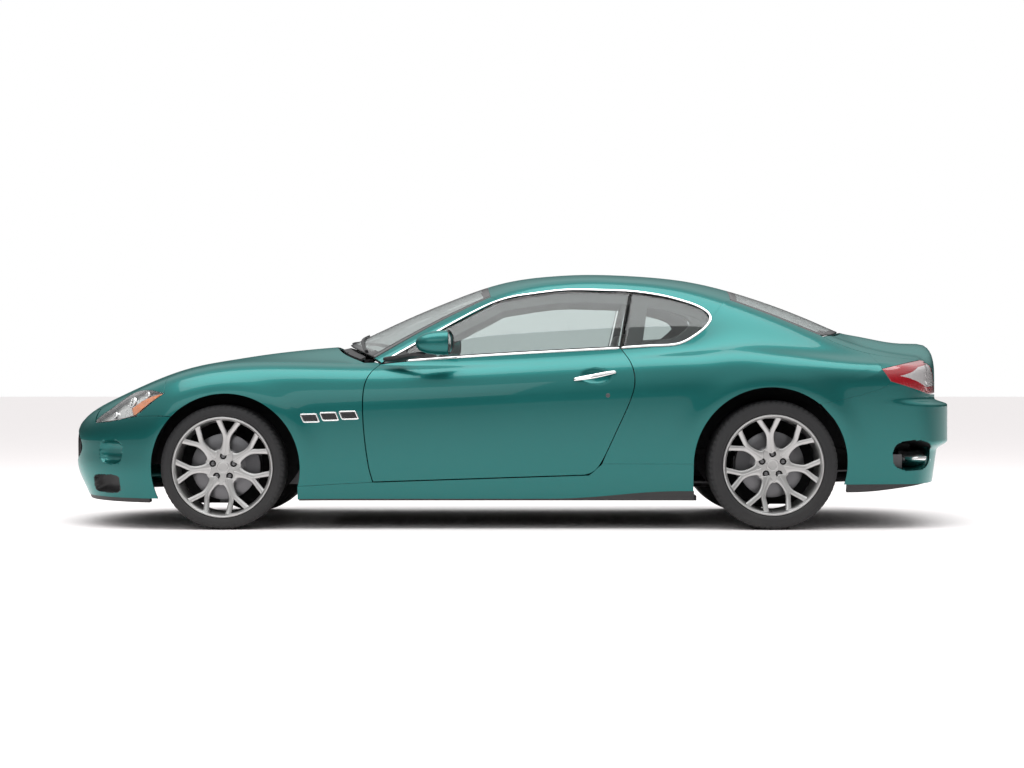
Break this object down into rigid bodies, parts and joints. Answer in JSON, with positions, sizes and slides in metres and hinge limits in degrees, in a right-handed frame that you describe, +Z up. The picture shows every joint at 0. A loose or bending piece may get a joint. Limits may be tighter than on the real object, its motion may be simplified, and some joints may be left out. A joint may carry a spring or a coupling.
{
  "type": "coupe car",
  "caption": "Two-door front-engined coupe car with long bonnet, opening doors, bonnet and boot lid, steered front wheels and alloy wheels.",
  "frame": {"origin": "on the ground under the middle of the car's bounding box", "axes": "-X to the nose, +X to the tail, -Y to the car's left side, +Z up"},
  "size_m": [4.9039, 2.0964, 1.3977],
  "materials": {
    "paint": "gloss",
    "black_metal": "satin",
    "black_plastic": "matte",
    "glass": "clear",
    "lamp": "clear",
    "red_lamp": "gloss",
    "leather": "satin",
    "trim": "satin",
    "iron": "satin",
    "steel": "satin",
    "alloy": "satin",
    "tyre": "matte"
  },
  "bodies": {
    "body": {"body_frame": "black_metal", "front_bumper": "paint", "grille": "black_plastic", "front_fenders": "paint", "rear_quarters": "paint", "rear_bumper": "paint", "sills": "paint", "roof": "paint", "a_pillars": "paint", "windscreen": "glass", "rear_window": "glass", "quarter_windows": "glass", "headlamps": "lamp", "tail_lamps": "red_lamp", "wheel_liners": "black_plastic", "cowl": "black_plastic", "wipers": "black_plastic", "dashboard": "trim", "front_seats": "leather", "rear_seats": "leather", "engine": "alloy", "exhaust": "steel", "front_suspension": "iron", "rear_suspension": "iron", "boot_liner": "trim"},
    "door_left": {"door_left": "paint", "door_glass_left": "glass", "mirror_left": "paint"},
    "door_right": {"door_right": "paint", "door_glass_right": "glass", "mirror_right": "paint"},
    "hood": {"hood": "paint"},
    "trunk_lid": {"trunk_lid": "paint"},
    "steering_wheel": {"steering_wheel": "trim"},
    "knuckle_left": {"knuckle_left": "iron"},
    "knuckle_right": {"knuckle_right": "iron"},
    "wheel_front_left": {"tyre_front_left": "tyre", "rim_front_left": "alloy", "disc_front_left": "steel"},
    "wheel_front_right": {"tyre_front_right": "tyre", "rim_front_right": "alloy", "disc_front_right": "steel"},
    "wheel_rear_left": {"tyre_rear_left": "tyre", "rim_rear_left": "alloy", "disc_rear_left": "steel"},
    "wheel_rear_right": {"tyre_rear_right": "tyre", "rim_rear_right": "alloy", "disc_rear_right": "steel"}
  },
  "joints": [
    {"name": "door_left_hinge", "type": "hinge", "parent": "body", "child": "door_left", "pos_m": [-0.7, -0.89, 0.63], "axis": [0, 0, -1], "range_deg": [0, 65]},
    {"name": "door_right_hinge", "type": "hinge", "parent": "body", "child": "door_right", "pos_m": [-0.7, 0.89, 0.63], "axis": [0, 0, 1], "range_deg": [0, 65]},
    {"name": "hood_hinge", "type": "hinge", "parent": "body", "child": "hood", "pos_m": [-0.776, 0, 0.905], "axis": [0, 1, 0], "range_deg": [0, 50]},
    {"name": "trunk_lid_hinge", "type": "hinge", "parent": "body", "child": "trunk_lid", "pos_m": [1.66, 0, 1.02], "axis": [0, -1, 0], "range_deg": [0, 60]},
    {"name": "steer_left", "type": "hinge", "parent": "body", "child": "knuckle_left", "pos_m": [-1.542, -0.7, 0.334], "axis": [0, 0, 1], "range_deg": [-33, 33]},
    {"name": "steer_right", "type": "hinge", "parent": "body", "child": "knuckle_right", "pos_m": [-1.542, 0.7, 0.334], "axis": [0, 0, 1], "range_deg": [-33, 33]},
    {"name": "steering_wheel_turn", "type": "hinge", "parent": "body", "child": "steering_wheel", "pos_m": [-0.33, -0.38, 0.835], "axis": [0.9063, 0, 0.4226], "range_deg": [-462, 462]},
    {"name": "wheel_front_left_spin", "type": "hinge", "parent": "knuckle_left", "child": "wheel_front_left", "pos_m": [-1.542, -0.793, 0.334], "axis": [0, 1, 0], "continuous": true},
    {"name": "wheel_front_right_spin", "type": "hinge", "parent": "knuckle_right", "child": "wheel_front_right", "pos_m": [-1.542, 0.793, 0.334], "axis": [0, 1, 0], "continuous": true},
    {"name": "wheel_rear_left_spin", "type": "hinge", "parent": "body", "child": "wheel_rear_left", "pos_m": [1.4, -0.795, 0.346], "axis": [0, 1, 0], "continuous": true},
    {"name": "wheel_rear_right_spin", "type": "hinge", "parent": "body", "child": "wheel_rear_right", "pos_m": [1.4, 0.795, 0.346], "axis": [0, 1, 0], "continuous": true}
  ],
  "couplings": [
    {"joint": "steer_right", "follows": "steer_left", "ratio": 1},
    {"joint": "steering_wheel_turn", "follows": "steer_left", "ratio": 14}
  ]
}
